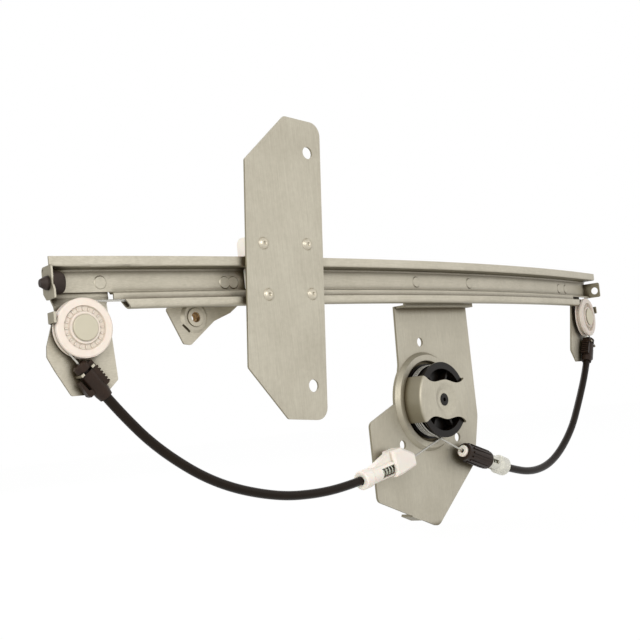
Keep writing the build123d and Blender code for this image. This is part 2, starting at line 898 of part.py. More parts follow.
def drum_strap():
    """The hat-shaped strap that holds the drum: dished face, and legs seated in the ring's collar."""
    leg = ring_bore_radius - pivot_gap
    line = FilletPolyline(
        (strap_hole_radius, strap_front + strap_dish_depth),
        (strap_dish_floor, strap_front + strap_dish_depth),
        (strap_dish_radius, strap_front),
        (leg, strap_front),
        (leg, cup_floor_front - faying_gap),
        radius=[1.5, 1.5, 3],
    )
    cup = revolve(make_face(offset(line, strap_sheet, side=Side.LEFT)), Axis.Y)
    w = strap_half_width
    top = Spline((-25, w), (-10.6, w - 4.1), (0, w - 2.4), (10.6, w - 4.1), (25, w))
    low = Spline((25, -w), (10.6, -w + 4.1), (0, -w + 2.4), (-10.6, -w + 4.1), (-25, -w))
    right = Polyline((25, w), (40, w), (40, -w), (25, -w))
    left = Polyline((-25, -w), (-40, -w), (-40, w), (-25, w))
    shape = make_face([top.edge(), *right.edges(), low.edge(), *left.edges()])
    return cup & (Rot(0, strap_turn, 0) * plate(shape, -30, 60))


def cable_drum():
    """The drum: flanges, cable grooves, ribbed front recess, pilot in the strap and socket for the motor."""
    land = winding_radius + 0.3
    half = [
        (0, strap_front + strap_dish_depth - 0.3),
        (strap_hole_radius - pivot_gap, strap_front + strap_dish_depth - 0.3),
        (strap_hole_radius - pivot_gap, strap_front + strap_dish_depth + strap_sheet + 0.4),
        (drum_hub_radius, strap_front + strap_dish_depth + strap_sheet + 0.4),
        (drum_hub_radius, drum_web_front),
        (drum_rim_inner, drum_web_front),
        (drum_rim_inner, drum_front),
        (drum_radius, drum_front),
        (drum_radius, drum_front + drum_flange),
        (land, drum_front + drum_flange),
    ]
    seat = cable_radius + press_gap
    grooves = [(y - seat, y + seat, winding_radius - seat) for y in winding_lanes]
    grooves.append((left_lane - cable_clear, right_lane + cable_clear, winding_radius - cable_clear))
    for front, back, floor in sorted(grooves):
        half += [(land, front), (floor, front), (floor, back), (land, back)]
    half += [
        (land, drum_back - drum_flange),
        (drum_radius, drum_back - drum_flange),
        (drum_radius, drum_back),
        (drive_hub_radius, drum_back),
        (drive_hub_radius, drive_hub_back),
        (0, drive_hub_back),
    ]
    drum = turned(half)
    for turn in range(0, 360, 60):
        rib = block(drum_hub_radius - 1, drum_rim_inner + 1, drum_front + 3, drum_web_front + 1, -1, 1)
        drum += Rot(0, turn, 0) * rib
    socket = pin(drive_socket_radius, drive_hub_back - drive_socket_depth, drive_hub_back + 1)
    for turn in range(0, 360, 60):
        tooth = block(drive_socket_radius - 1, drive_socket_radius + 2, drive_hub_back - drive_socket_depth,
                      drive_hub_back + 1, -1.5, 1.5)
        socket += Rot(0, turn, 0) * tooth
    drum -= socket
    drum -= pin(1.6, strap_front, strap_front + 8)
    return drum


def drum_winding():
    """The turns of cable that lie in the drum's grooves."""
    return [Pos(0, y, 0) * Rot(90, 0, 0) * Torus(winding_radius, cable_radius) for y in winding_lanes]


def carrier_frame():
    return on_rail(carrier_s)


def carrier_rivet_places():
    half = carrier_rivet_spacing / 2
    return [(a, h) for a in (-half, half) for h in carrier_rivet_heights]


def carrier_plate():
    """The flat plate that the glass bolts to, leaning in its own plane."""
    points = [
        (carrier_left, 78.1),
        (-0.9, carrier_top),
        (carrier_right, carrier_top),
        (carrier_right, carrier_bottom),
        (-2.5, carrier_bottom),
        (carrier_left, -61.4),
    ]
    corners = [3, 3, carrier_corner, carrier_corner, 3, 3]
    sheet = plate(outline(points, corners), carrier_back - carrier_sheet, carrier_sheet)
    for height in glass_hole_heights:
        sheet -= Pos(glass_hole_offset, 0, height) * pin(glass_hole_radius, -20, 20)
    sheet = Pos(-0.8, 0, 0) * Rot(0, carrier_lean, 0) * sheet
    for a, h in carrier_rivet_places():
        sheet -= Pos(a, 0, h) * pin(carrier_rivet_radius, -20, 20)
    return carrier_frame() * sheet


def slider_block():
    """The plastic slider: body in the channel, shoe round the flange, and cable anchor in the slot."""
    top = channel_top - running_gap
    flange_gap = running_gap
    over = channel_top + rail_sheet + running_gap
    face = carrier_back + press_gap
    low_back = pulley_front - 0.5
    body = section(
        [
            (face, top),
            (face, slider_bottom),
            (low_back, slider_bottom),
            (low_back, channel_bottom + running_gap),
            (slider_back - 1, channel_bottom + running_gap),
            (slider_back, channel_bottom + running_gap + 1),
            (slider_back, top - 1),
            (slider_back - 1, top),
        ]
    )
    shoe = section(
        [
            (face, top - 1),
            (-flange_gap, top - 1),
            (-flange_gap, flange_top + running_gap),
            (rail_sheet + running_gap, flange_top + running_gap),
            (rail_sheet + running_gap, over),
            (8, over),
            (8, slider_top - 3),
            (5, slider_top),
            (face, slider_top),
        ]
    )
    anchor = section(
        [
            (low_back - 0.5, channel_bottom + running_gap + 1),
            (low_back - 0.5, lip_top + running_gap),
            (rail_sheet + running_gap, lip_top + running_gap),
            (rail_sheet + running_gap, anchor_bottom),
            (slot_depth - running_gap, anchor_bottom),
            (slot_depth - running_gap, channel_bottom + running_gap + 1),
        ]
    )
    slider = along_rail(body, carrier_s - slider_half_length, carrier_s + slider_half_length)
    slider += along_rail(shoe, carrier_s - shoe_half_length, carrier_s + shoe_half_length)
    slider += along_rail(anchor, carrier_s - anchor_half_length, carrier_s + anchor_half_length)
    flat = carrier_frame() * plate(Rectangle(200, 200), carrier_back - 20, 20 + press_gap)
    slider -= flat
    line = on_rail(carrier_s, cable_depth, cable_height)
    slider -= line * rod(cable_clear, -anchor_half_length - 1, anchor_half_length + 1)
    for start in (-anchor_half_length - 1, anchor_half_length - nipple_length):
        slider -= line * rod(nipple_radius + press_gap, start, start + nipple_length + 1)
    for a, h in carrier_rivet_places():
        shank_end = carrier_shank_end(h)
        slider -= carrier_frame() * Pos(a, 0, h) * pin(carrier_rivet_radius + press_gap, -20, shank_end + 0.1)
    return slider


def carrier_shank_end(height):
    """How deep a carrier rivet goes: further in the thick shoe above the rail."""
    return 5 if height > flange_top else pulley_front - 0.9


def carrier_rivets():
    """The four rivets through the carrier plate, domed with a dimple."""
    front = carrier_back - carrier_sheet
    rivets = []
    for a, h in carrier_rivet_places():
        shank = carrier_rivet_radius - press_gap
        half = [
            (0, front - carrier_rivet_head + 0.9),
            (0.7, front - carrier_rivet_head + 0.8),
            (1.3, front - carrier_rivet_head),
            (2.4, front - carrier_rivet_head),
            (3.5, front - 0.6 * carrier_rivet_head),
            (carrier_rivet_head_radius, front - press_gap),
            (shank, front - press_gap),
            (shank, carrier_shank_end(h)),
            (0, carrier_shank_end(h)),
        ]
        rivets.append(carrier_frame() * Pos(a, 0, h) * turned(half))
    return rivets


def cable_nipples():
    """The two nipples that end the cable in the slider."""
    line = on_rail(carrier_s, cable_depth, cable_height)
    nipple = rod(nipple_radius, 0, nipple_length) - rod(cable_clear, -1, nipple_length + 1)
    return [line * Pos(x, 0, 0) * nipple for x in (-anchor_half_length, anchor_half_length - nipple_length)]


def door_tab():
    """The tab behind the rail that takes the door's screw, embossed round its bush."""
    points = [
        (8, strip_top),
        (35, strip_top),
        (35, -12.8),
        (26.4, -18.7),
        (12.9, -23.7),
        (-6.9, -38.8),
        (-12.2, -38),
        (-23.1, -15.5),
        (-19, -10),
        (8, -10),
    ]
    sheet = joggled_sheet(door_tab_depth, -40, door_tab_s - 40, door_tab_s + 50)
    tab = sheet & (on_rail(door_tab_s) * plate(outline(points, 2), 0, 60))
    x, h = door_boss_place
    boss_front = door_tab_depth - door_boss_height
    boss = turned(
        [
            (0, boss_front),
            (door_boss_radius - 2, boss_front),
            (door_boss_radius, door_tab_depth + 0.1),
            (door_boss_radius - 1, door_tab_depth + bracket_sheet),
            (0, door_tab_depth + bracket_sheet),
        ]
    )
    tab += on_rail(door_tab_s) * Pos(x, 0, h) * boss
    tab -= on_rail(door_tab_s) * Pos(x, 0, h) * pin(door_bush_radius, 0, 40)
    slit = Rot(0, 45, 0) * block(-3.5, 3.5, 0, door_tab_depth + 0.6, -0.6, 0.6)
    tab -= on_rail(door_tab_s) * Pos(x - 6.9, 0, h - 6.9) * slit
    for s, height in rivet_places():
        tab -= on_rail(s, 0, height) * pin(rivet_radius, channel_depth, floor_back + 4)
    return tab


def door_bush():
    """The threaded bush in the door tab."""
    front = door_tab_depth - door_boss_height - 0.8
    shank = door_bush_radius - press_gap
    half = [
        (door_thread_radius, front),
        (shank, front),
        (shank, door_tab_depth + bracket_sheet + press_gap),
        (shank + 1.6, door_tab_depth + bracket_sheet + press_gap),
        (shank + 1.6, front + door_bush_length),
        (door_thread_radius, front + door_bush_length),
    ]
    x, h = door_boss_place
    return on_rail(door_tab_s) * Pos(x, 0, h) * turned(half)


def rivet_places():
    """Where the rivets join the rail's floor, as s and height: brackets, door tab and drum plate."""
    brackets = [(37 - rail_half, 1.6), (rail_half - 69, 1), (rail_half - 53, 1)]
    return [*brackets, (-187, 0.6), (-180, 0.6), (5, 1.5), (78, 1.5)]


def bracket_rivets():
    """The flat rivets through the rail's floor and the sheet behind it."""
    rivets = []
    for s, height in rivet_places():
        sheet_back = tab_depth + (plate_sheet if 0 < s < 100 else bracket_sheet)
        shank = rivet_radius - press_gap
        half = [
            (0, channel_depth - rivet_head),
            (rivet_head_radius - 0.5, channel_depth - rivet_head),
            (rivet_head_radius, channel_depth - press_gap),
            (shank, channel_depth - press_gap),
            (shank, sheet_back + press_gap),
            (rivet_head_radius, sheet_back + press_gap),
            (rivet_head_radius - 0.6, sheet_back + 1.2),
            (0, sheet_back + 1.2),
        ]
        rivets.append(on_rail(s, 0, height) * turned(half))
    return rivets


with SkipClean():
    rail = guide_rail()

nodes = {
    "guide_rail": rail,
    "bump_stop": bump_stop(),
    "left_pulley_bracket": left_pulley_bracket(),
    "left_pulley": cable_pulley(left_pulley_s),
    "left_pulley_rivet": pulley_pin(left_pulley_s),
    "left_sheath_socket": sheath_socket(left_leave(), -1),
    "left_sheath": left_sheath(),
    "left_sheath_ferrule": left_sheath_ferrule(),
    "left_tensioner_sleeve": left_tensioner_sleeve(),
    "left_tensioner_spring": left_tensioner_spring(),
    "right_pulley_bracket": right_pulley_bracket(),
    "right_pulley": cable_pulley(right_pulley_s),
    "right_pulley_rivet": pulley_pin(right_pulley_s),
    "right_sheath_socket": sheath_socket(right_leave(), 1),
    "right_sheath": right_sheath(),
    "right_sheath_ferrule": right_sheath_ferrule(),
    "right_adjuster_sleeve": right_adjuster_sleeve(),
    "right_adjuster_spring": right_adjuster_spring(),
    "right_adjuster_barrel": right_adjuster_barrel(),
    "right_adjuster_nose": right_adjuster_nose(),
    "rail_cable": rail_cable(),
    "left_drum_cable": left_drum_cable(),
    "right_drum_cable": right_drum_cable(),
    "drum_plate": drum_plate(),
    "drum_strap": drum_strap(),
    "cable_drum": cable_drum(),
    "drum_winding": drum_winding(),
    "carrier_plate": carrier_plate(),
    "carrier_rivets": carrier_rivets(),
    "slider_block": slider_block(),
    "cable_nipples": cable_nipples(),
    "door_tab": door_tab(),
    "door_bush": door_bush(),
    "bracket_rivets": bracket_rivets(),
}

for name, shape in nodes.items():
    solids = shape if isinstance(shape, list) else shape.solids()
    whole = solids[0] if len(solids) == 1 else Compound(children=[s.solid() for s in solids])
    export_step(whole, f"parts/{name}.step")
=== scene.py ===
# %% [markdown]
# # A car door's window regulator
#
# A curved steel rail guides a plate that carries the window glass. A thin steel cable pulls the plate along,
# round a pulley at each end of the rail, and through two black conduits to a drum that a motor turns. Every
# rigid piece arrives already modelled and stays where it is. This script gives each one the finish of the
# real material, models the conduits and the stranded cable, and sets up the light and the camera.

# %% The rigid pieces
import json
from math import acos, atan2, cos, hypot, pi, radians, sin

import bpy
from mathutils import Matrix, Vector


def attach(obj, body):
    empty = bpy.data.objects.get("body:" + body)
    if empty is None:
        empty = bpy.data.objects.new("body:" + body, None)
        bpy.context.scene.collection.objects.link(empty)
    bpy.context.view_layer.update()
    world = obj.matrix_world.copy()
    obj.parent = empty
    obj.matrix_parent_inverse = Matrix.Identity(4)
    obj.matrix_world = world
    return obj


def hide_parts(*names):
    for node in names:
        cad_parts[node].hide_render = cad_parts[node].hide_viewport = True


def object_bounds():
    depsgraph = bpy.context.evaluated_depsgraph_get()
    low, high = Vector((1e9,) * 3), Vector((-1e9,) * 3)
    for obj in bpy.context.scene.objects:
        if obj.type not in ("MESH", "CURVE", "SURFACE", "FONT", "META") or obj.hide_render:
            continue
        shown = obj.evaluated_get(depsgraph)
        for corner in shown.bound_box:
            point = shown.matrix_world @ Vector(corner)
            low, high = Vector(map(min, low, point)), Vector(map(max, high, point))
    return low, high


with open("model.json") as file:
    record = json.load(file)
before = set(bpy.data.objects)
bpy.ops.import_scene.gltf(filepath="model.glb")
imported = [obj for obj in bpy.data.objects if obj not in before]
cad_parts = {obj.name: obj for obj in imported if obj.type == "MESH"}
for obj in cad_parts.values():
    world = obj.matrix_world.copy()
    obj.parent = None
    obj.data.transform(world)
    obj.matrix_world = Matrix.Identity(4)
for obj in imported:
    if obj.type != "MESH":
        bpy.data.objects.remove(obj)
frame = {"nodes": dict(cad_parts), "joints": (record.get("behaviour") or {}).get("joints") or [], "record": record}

cad_box = [list(corner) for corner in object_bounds()]
nodes = frame["nodes"]
print(len(nodes), "rigid pieces, box", cad_box)

# %% [markdown]
# ## Camera
# The photo was taken from the left of the regulator and a little below its middle, with the camera slightly
# turned. The focal length in pixels, the place and the three angles come from the corners of the rail, its
# curve and the round drum. A camera's own axes are right, up and back, so a matrix with those three columns
# says exactly how it is turned, with no guessing about the order of the angles.

# %% Camera
photo_pixels = 640
focal_pixels = 1150
sensor_mm = 36
view_azimuth = radians(-47.224)
view_elevation = radians(-4.607)
view_roll = radians(-6)
view_target = Vector((-0.13607, -0.022, 0.06288))
view_distance = 0.78949

back = Vector((
    sin(view_azimuth) * cos(view_elevation),
    -cos(view_azimuth) * cos(view_elevation),
    sin(view_elevation),
))
level = Vector((cos(view_azimuth), sin(view_azimuth), 0))
upright = back.cross(level)
right = cos(view_roll) * level + sin(view_roll) * upright
up = cos(view_roll) * upright - sin(view_roll) * level

lens = bpy.data.cameras.new("camera")
lens.sensor_width = sensor_mm
lens.lens = sensor_mm * focal_pixels / photo_pixels
lens.clip_start = 0.01
camera = bpy.data.objects.new("camera", lens)
turned = Matrix((right, up, back)).transposed().to_4x4()
camera.matrix_world = Matrix.Translation(view_target + view_distance * back) @ turned
bpy.context.scene.collection.objects.link(camera)
bpy.context.scene.camera = camera
print("camera at", [round(c, 3) for c in camera.location])

# %% [markdown]
# ## Helpers
# Colours are written as the hex codes that a paint program shows. A shader works with linear light, so one
# function turns the one into the other. A second one adds a node with its settings and links, which keeps
# each tree of nodes short enough to read as a recipe.

# %% Colour and node helpers
mm = 0.001


def linear(code):
    """An sRGB hex colour as the linear values that a shader takes."""
    parts = [int(code[i:i + 2], 16) / 255 for i in (1, 3, 5)]
    return [p / 12.92 if p <= 0.04045 else ((p + 0.055) / 1.055) ** 2.4 for p in parts] + [1]


def add(tree, kind, inputs=None, **settings):
    """Adds a node. Its inputs are values or the sockets that feed them."""
    made = tree.nodes.new(kind)
    for name, value in settings.items():
        setattr(made, name, value)
    for name, value in (inputs or {}).items():
        if isinstance(value, bpy.types.NodeSocket):
            tree.links.new(value, made.inputs[name])
        else:
            made.inputs[name].default_value = value
    return made


# %% [markdown]
# ## Steps that come back
# Four kinds of node come back in nearly every finish: arithmetic, a change of range, a noise pattern and a
# blend of two colours. A function for each hands on the one socket that matters, so the steps can be written
# inside each other like a formula.

# %% Arithmetic, ranges, noise and blends
def calculate(tree, operation, *numbers, **settings):
    """One step of arithmetic on numbers or sockets."""
    step = add(tree, "ShaderNodeMath", dict(enumerate(numbers)), operation=operation, **settings)
    return step.outputs["Value"]


def rescale(tree, value, low, high, to_low=0.0, to_high=1.0):
    """A range of values stretched over another one, and held at its ends."""
    ends = {"Value": value, "From Min": low, "From Max": high, "To Min": to_low, "To Max": to_high}
    return add(tree, "ShaderNodeMapRange", ends).outputs["Result"]


def noise(tree, place, size, **more):
    """A noise pattern whose grain has its real size."""
    return add(tree, "ShaderNodeTexNoise", {"Vector": place, "Scale": 1 / size, **more}).outputs["Fac"]


def blend(tree, share, low, high):
    """A colour between two others, which are hex codes or sockets."""
    low, high = (linear(end) if isinstance(end, str) else end for end in (low, high))
    return add(tree, "ShaderNodeMix", {0: share, 6: low, 7: high}, data_type="RGBA").outputs[2]


# %% [markdown]
# ## What every finish shares
# Painted shade darkens each finish in corners, gaps and hollows, where little light reaches. An ambient
# occlusion node finds them, because it measures how much of the air near a point is free. Every surface also
# has some fine relief, too small to model, which a bump node fakes by turning the light.

# %% Finish helpers
corner_rays = 12


def open_air(tree, reach, shut, clear):
    """How open the surface is within a reach: 0 deep in a corner or gap, 1 where nothing is near."""
    corner = add(tree, "ShaderNodeAmbientOcclusion", {"Distance": reach}, samples=corner_rays)
    return rescale(tree, corner.outputs["AO"], shut, clear)


def roughen(tree, shader, height, strength, depth):
    """Fine relief, which only turns the light."""
    relief = add(tree, "ShaderNodeBump", {"Height": height, "Strength": strength, "Distance": depth})
    tree.links.new(relief.outputs["Normal"], shader.inputs["Normal"])


def new_finish(name, **values):
    """A material with its shader's plain numbers set, ready for the links that vary over the surface."""
    made = bpy.data.materials.new(name)
    made.use_nodes = True
    shader = made.node_tree.nodes["Principled BSDF"]
    for socket, value in values.items():
        shader.inputs[socket.replace("_", " ")].default_value = value
    return made, made.node_tree, shader


def dress(finish, *names):
    """Gives rigid pieces one finish."""
    for name in names:
        nodes[name].data.materials.clear()
        nodes[name].data.materials.append(finish)


# %% [markdown]
# ## Zinc-plated sheet
# The rail, brackets and plates are cold-rolled steel sheet, zinc plated after it was pressed. Such plating is
# a dull, warm grey metal. It shows faint clouds a few centimetres wide where the bath left more or less zinc,
# a finer mottle, and very fine lines along the way that the sheet was rolled. Painted shade and a painted
# reflection turn the colour browner in corners, where one face of the sheet shades and mirrors another, and
# painted shade darkens ledges and cut edges that look away from the front. Noise textures in Object
# coordinates draw the three patterns at their real size, an ambient occlusion node finds the corners, and the
# surface's own direction finds the ledges.

# %% Zinc-plated sheet
cloud_size = 34 * mm
mottle_size = 3.2 * mm
rolling_line = 0.5 * mm
rolling_stretch = 40
dark_to_pale = (1.15, 1.85)
ledge_to_face = (0.2, 0.85)
corner_reach = 8 * mm
corner_to_open = (0.55, 0.85)
noise_middle = (0.3, 0.7)
sheet_roughness = (0.38, 0.54)
sheet_relief = 0.12
plating_depth = 0.05 * mm


def zinc_plated_sheet(name, pale, dark, ledge_shade, corner_shade, rolled_along):
    """Zinc plate with clouds, mottle and rolling lines that run along one axis."""
    finish, tree, shader = new_finish(name, Metallic=0.55, Roughness=0.45)
    coordinates = add(tree, "ShaderNodeTexCoord").outputs
    place = coordinates["Object"]
    clouds = noise(tree, place, cloud_size, Detail=3, Roughness=0.6)
    mottle = noise(tree, place, mottle_size, Detail=4, Roughness=0.7)
    stretch = [1 / rolling_line] * 3
    stretch[rolled_along] /= rolling_stretch
    along = add(tree, "ShaderNodeMapping", {"Vector": place, "Scale": stretch})
    lines = noise(tree, along.outputs["Vector"], 1, Detail=2)
    fine = calculate(tree, "ADD", mottle, lines)
    tone = calculate(tree, "ADD", clouds, fine)
    metal = blend(tree, rescale(tree, tone, *dark_to_pale), dark, pale)
    # Painted shade: faces that look away from the front take the darker ledge colour.
    direction = add(tree, "ShaderNodeSeparateXYZ", {"Vector": coordinates["Normal"]})
    facing = calculate(tree, "ABSOLUTE", direction.outputs["Y"])
    sides = blend(tree, rescale(tree, facing, *ledge_to_face), ledge_shade, metal)
    # Painted shade and a painted reflection: the brown corner colour goes where the ambient occlusion finds little
    # open air.
    colour = blend(tree, open_air(tree, corner_reach, *corner_to_open), corner_shade, sides)
    tree.links.new(colour, shader.inputs["Base Color"])
    tree.links.new(rescale(tree, mottle, *noise_middle, *sheet_roughness), shader.inputs["Roughness"])
    roughen(tree, shader, fine, sheet_relief, plating_depth)
    return finish


# Each sheet's third colour is painted shade on its ledges, and its fourth is painted shade and a painted
# reflection in its corners.
rolled_sheet = zinc_plated_sheet("zinc_plated_sheet", "#CAC3B2", "#B6AF9D", "#8A836F", "#4E4430", 0)
upright_sheet = zinc_plated_sheet("zinc_plated_plate", "#C1BBAA", "#AEA796", "#8A836F", "#5E533B", 2)
dress(rolled_sheet, "guide_rail", "left_pulley_bracket", "right_pulley_bracket", "door_tab", "bracket_rivets")
dress(upright_sheet, "carrier_plate", "drum_plate", "drum_strap")
print("two finishes of sheet made")

# %% [markdown]
# ## Small bright steel
# Rivets, the bush, the conduits' end caps and the cable nipples are small turned or headed pieces, and the
# springs and the cable are drawn wire. All are smoother than the sheet, so they mirror more, and small scuffs
# from tools and handling break up the mirror. Painted shade darkens the gaps between the wires and round
# each head.

# %% Bright steel
scuff_size = 0.8 * mm
scuff_polish = 0.08
scuff_wear = 0.1
steel_relief = 0.15
gap_reach = 1.5 * mm
gap_to_open = (0.35, 0.8)
# Painted shade for gaps and the rims round heads.
gap_shade = "#3E382C"


def bright_steel(name, pale, dark, rough, metallic=0.9):
    """Plated steel with small scuffs and painted shade in its gaps."""
    finish, tree, shader = new_finish(name, Metallic=metallic, Roughness=rough)
    place = add(tree, "ShaderNodeTexCoord").outputs["Object"]
    scuffs = noise(tree, place, scuff_size, Detail=3, Roughness=0.65)
    tone = blend(tree, scuffs, dark, pale)
    # Painted shade: the gap colour goes where the ambient occlusion finds little open air.
    colour = blend(tree, open_air(tree, gap_reach, *gap_to_open), gap_shade, tone)
    tree.links.new(colour, shader.inputs["Base Color"])
    gloss = rescale(tree, scuffs, *noise_middle, rough - scuff_polish, rough + scuff_wear)
    tree.links.new(gloss, shader.inputs["Roughness"])
    roughen(tree, shader, scuffs, steel_relief, plating_depth)
    return finish


rivet_steel = bright_steel("plated_rivet_steel", "#D2CBBA", "#B4AB97", 0.34)
disc_steel = bright_steel("dull_disc_steel", "#CFC8B4", "#C2BBA6", 0.5)
spring_steel = bright_steel("drawn_spring_wire", "#E2E5D6", "#C4C8B8", 0.32, 0.3)
cable_steel = bright_steel("galvanised_cable_wire", "#CFCDC6", "#A9A69C", 0.26)
yellow_steel = bright_steel("yellow_passivated_steel", "#D9B27A", "#8F6534", 0.3)
dress(rivet_steel, "carrier_rivets", "door_bush", "cable_nipples")
dress(rivet_steel, "left_sheath_ferrule", "right_sheath_ferrule")
dress(disc_steel, "left_pulley_rivet", "right_pulley_rivet")
dress(spring_steel, "left_tensioner_spring", "right_adjuster_spring")
dress(cable_steel, "rail_cable")
print("five finishes of bright steel made")

# %% [markdown]
# ## Moulded plastics
# The pulleys, the slider and the left tensioner are natural acetal, a hard, slightly waxy, cream-white
# plastic; the pulleys take a darker copy of it, which is painted shade. The drum, the sockets and the
# adjuster's barrel are black nylon with a fine grain from the mould, and the adjuster's sleeve is clear. Light
# enters the white plastic a little before it comes back, which a small subsurface share gives. Painted shade
# darkens the hollows, and grain is bump at the mould's own scale.

# %% Plastics
flow_size = 9 * mm
hollow_reach = 3 * mm
hollow_to_open = (0.35, 0.9)
grain_size = 0.35 * mm
grain_depth = 0.06 * mm


def moulded(name, pale, dark, hollow_shade, rough, grain, **values):
    """A moulded plastic with faint flow marks in its tone, painted shade in its hollows and a fine grain."""
    finish, tree, shader = new_finish(name, Roughness=rough, **values)
    place = add(tree, "ShaderNodeTexCoord").outputs["Object"]
    tone = blend(tree, noise(tree, place, flow_size, Detail=2, Distortion=0.6), dark, pale)
    # Painted shade: the hollow colour goes where the ambient occlusion finds little open air.
    colour = blend(tree, open_air(tree, hollow_reach, *hollow_to_open), hollow_shade, tone)
    tree.links.new(colour, shader.inputs["Base Color"])
    roughen(tree, shader, noise(tree, place, grain_size, Detail=2), grain, grain_depth)
    return finish


waxy = {"Subsurface_Weight": 0.12, "Subsurface_Scale": 2 * mm}
pulley_waxy = {"Subsurface_Weight": 0.06, "Subsurface_Scale": 1 * mm}
see_through = {"Transmission_Weight": 0.25, "IOR": 1.5}
# The fourth colour of each plastic is painted shade in its hollows.
white_acetal = moulded("natural_acetal", "#FAF2E8", "#F2E8DC", "#C4B8A6", 0.4, 0.06, **waxy)
# A darker copy of the acetal for the pulleys, which is painted shade.
shaded_acetal = moulded("shaded_pulley_acetal", "#E6DACE", "#DCCFC1", "#A39884", 0.4, 0.06, **pulley_waxy)
black_nylon = moulded("black_nylon", "#34251B", "#211710", "#140E0A", 0.4, 0.2, Specular_IOR_Level=0.2)
drum_nylon = moulded("glossy_black_nylon", "#1A130E", "#0C0906", "#070504", 0.3, 0.1, Specular_IOR_Level=0.18)
stop_rubber = moulded("moulded_rubber", "#372C26", "#211A16", "#120E0B", 0.6, 0.25, Specular_IOR_Level=0.25)
clear_sleeve = moulded("clear_polycarbonate", "#FBF9EE", "#F1EEDF", "#CFCBB8", 0.2, 0.04, **see_through)
dress(white_acetal, "slider_block", "left_tensioner_sleeve", "right_adjuster_nose")
dress(shaded_acetal, "left_pulley", "right_pulley")
dress(black_nylon, "left_sheath_socket", "right_sheath_socket", "right_adjuster_barrel")
dress(drum_nylon, "cable_drum")
dress(stop_rubber, "bump_stop")
dress(clear_sleeve, "right_adjuster_sleeve")
print("six finishes of plastic made")

# %% [markdown]
# ## Conduits
# Each conduit is a stiff extruded tube with a steel lining that the cable slides in. It springs out in one
# long curve between the socket beside its pulley and its fitting at the drum. A NURBS curve with a few
# listed control points bends as smoothly as the real tube does, and its bevel gives the tube.

# %% Conduit skin
wipe_size = 6 * mm
skin_roughness = (0.2, 0.42)

conduit_skin, tree, shader = new_finish("extruded_conduit_skin", Roughness=0.3, Specular_IOR_Level=0.14)
place = add(tree, "ShaderNodeTexCoord").outputs["Object"]
wipe = noise(tree, place, wipe_size, Detail=4, Roughness=0.7)
tree.links.new(blend(tree, wipe, "#100A04", "#21160B"), shader.inputs["Base Color"])
tree.links.new(rescale(tree, wipe, 0, 1, *skin_roughness), shader.inputs["Roughness"])
print(conduit_skin.name, "made")

# %% Conduit routes in millimetres
conduit_radius = 3.15 * mm
left_route = [
    (-302.56, 7.39, 27.21),
    (-291.73, 5.38, 12.97),
    (-266.0, 2.6, -13.0),
    (-226.9, -1.8, -38.3),
    (-180.0, -5.8, -52.2),
    (-142.0, -9.4, -55.0),
    (-108.19, -11.9, -52.4),
    (-82.54, -11.9, -48.18),
]
right_route = [
    (261.23, 5.64, 26.78),
    (251.32, 3.87, 11.85),
    (229.2, 1.2, -14.0),
    (203.2, -2.2, -40.6),
    (163.0, -6.2, -63.2),
    (124.0, -9.2, -69.2),
    (86.59, -10.1, -62.14),
    (67.62, -10.1, -55.78),
]
print("routes of", len(left_route), "and", len(right_route), "points")


# %% A smooth line through a route
def smooth_line(name, route):
    """A curve object with one NURBS spline through a route's control points, in metres."""
    line = bpy.data.curves.new(name, "CURVE")
    line.dimensions = "3D"
    line.resolution_u = 24
    spline = line.splines.new("NURBS")
    spline.points.add(len(route) - 1)
    for point, place in zip(spline.points, route):
        point.co = (*place, 1)
    spline.order_u = 3
    spline.use_endpoint_u = True
    made = bpy.data.objects.new(name, line)
    bpy.context.scene.collection.objects.link(made)
    return made


# %% Conduits
def conduit(name, node, route, length):
    """One conduit in place of its plain solid."""
    places = [Vector(place) * mm for place in route]
    tube = smooth_line(name, places)
    tube.data.bevel_depth = conduit_radius
    tube.data.bevel_resolution = 7
    tube.data.use_fill_caps = True
    tube.data.materials.append(conduit_skin)
    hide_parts(node)
    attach(tube, "rail_frame")
    print(name, "length", length)


conduit("left_conduit", "left_sheath", left_route, 0.248)
conduit("right_conduit", "right_sheath", right_route, 0.232)

# %% [markdown]
# ## Geometry trees
# A tree of Geometry Nodes makes what repeats: the strands of the cable, the marks round a pulley, the turns
# of a thread. Each tree here has named sizes, ends in plain mesh with one finish, and is run once for each
# place that needs it. The result is kept as an ordinary mesh object.

# %% Tree helpers
def new_tree(name, result, **sizes):
    """A tree with named inputs and one result, and the outputs of its input node."""
    tree = bpy.data.node_groups.new(name, "GeometryNodeTree")
    for size_name, kind in sizes.items():
        label = size_name.replace("_", " ")
        tree.interface.new_socket(name=label, in_out="INPUT", socket_type="NodeSocket" + kind)
    tree.interface.new_socket(name=result, in_out="OUTPUT", socket_type="NodeSocketGeometry")
    return tree, add(tree, "NodeGroupInput").outputs


def end_tree(tree, geometry, finish, result):
    """The tree's last nodes: plain mesh with a finish."""
    solid = add(tree, "GeometryNodeRealizeInstances", {"Geometry": geometry}).outputs["Geometry"]
    coated = add(tree, "GeometryNodeSetMaterial", {"Geometry": solid, "Material": finish})
    add(tree, "NodeGroupOutput", {result: coated.outputs["Geometry"]})
    print(tree.name, "has", len(tree.nodes), "nodes")


